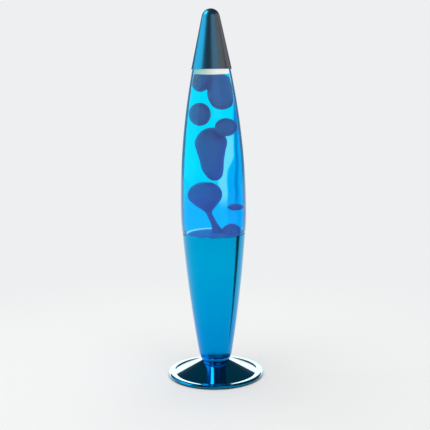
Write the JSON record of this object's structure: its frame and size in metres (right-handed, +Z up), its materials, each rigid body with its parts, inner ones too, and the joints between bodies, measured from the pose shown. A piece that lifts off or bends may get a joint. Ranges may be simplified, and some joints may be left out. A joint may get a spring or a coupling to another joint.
{
  "type": "lava lamp",
  "caption": "Bottle lamp: a glass bottle of coloured liquid and melted wax stands in a turned metal base over a heating bulb, under a lift-off pointed metal cap.",
  "frame": {"origin": "under the middle of the foot, on the surface the lamp stands on", "axes": "+Z up along the lamp's axis; +Y towards the back, where the cord outlet is; -Y to the front"},
  "size_m": [0.1078, 0.1078, 0.41],
  "materials": {
    "blue_anodised": "polished, anodised blue",
    "dark_chrome": "dark tinted mirror",
    "glass": "clear, polished",
    "liquid": "clear cyan liquid, lit from below",
    "wax": "melted wax, dark indigo",
    "brass": "bright",
    "steel": "plated",
    "white_ceramic": "glazed",
    "black_moulding": "black glass insulator",
    "rubber": "matt",
    "fibreboard": "pressed board, matt black",
    "gold_crown": "lacquered tinplate"
  },
  "bodies": {
    "base": {"base_cone": "blue_anodised", "neck_collar": "blue_anodised", "foot_flange": "blue_anodised", "cord_grommet": "rubber", "bottom_cover": "fibreboard", "rubber_foot_1": "rubber", "rubber_foot_2": "rubber", "rubber_foot_3": "rubber", "rubber_foot_4": "rubber", "threaded_tube": "steel", "lower_nut": "steel", "upper_nut": "steel", "lock_washer": "steel", "holder_dome": "white_ceramic", "holder_insulator": "white_ceramic", "holder_skirt": "white_ceramic", "holder_thread_shell": "brass", "centre_contact": "brass", "terminal_screw_1": "brass", "terminal_screw_2": "brass"},
    "bottle": {"bottle_glass": "glass", "crown_cap": "gold_crown", "crown_liner": "rubber", "liquid": "liquid", "wax_pool": "wax", "wax_left": "wax", "wax_right": "wax", "wax_pear": "wax", "wax_flat": "wax", "wax_top_left": "wax", "wax_top_right": "wax", "wire_coil": "steel"},
    "cap": {"cap": "dark_chrome"},
    "bulb_contact": {"bulb_tip_contact": "steel"},
    "bulb": {"bulb_insulator": "black_moulding", "bulb_screw_cap": "steel", "bulb_glass": "glass", "bulb_stem": "glass", "lead_wire_1": "steel", "lead_wire_2": "steel", "filament": "steel"}
  },
  "joints": [
    {"name": "bottle_lift", "type": "slide", "parent": "base", "child": "bottle", "axis": [0, 0, 1], "range_m": [0, 0.06]},
    {"name": "cap_lift", "type": "slide", "parent": "bottle", "child": "cap", "axis": [0, 0, 1], "range_m": [0, 0.06]},
    {"name": "bulb_rise", "type": "slide", "parent": "base", "child": "bulb_contact", "axis": [0, 0, 1], "range_m": [0, 0.01]},
    {"name": "bulb_turn", "type": "hinge", "parent": "bulb_contact", "child": "bulb", "pos_m": [0, 0, 0.058], "axis": [0, 0, 1], "range_deg": [0, 1260]}
  ],
  "couplings": [
    {"joint": "bulb_rise", "follows": "bulb_turn", "m_per_rad": 0.00044882}
  ]
}
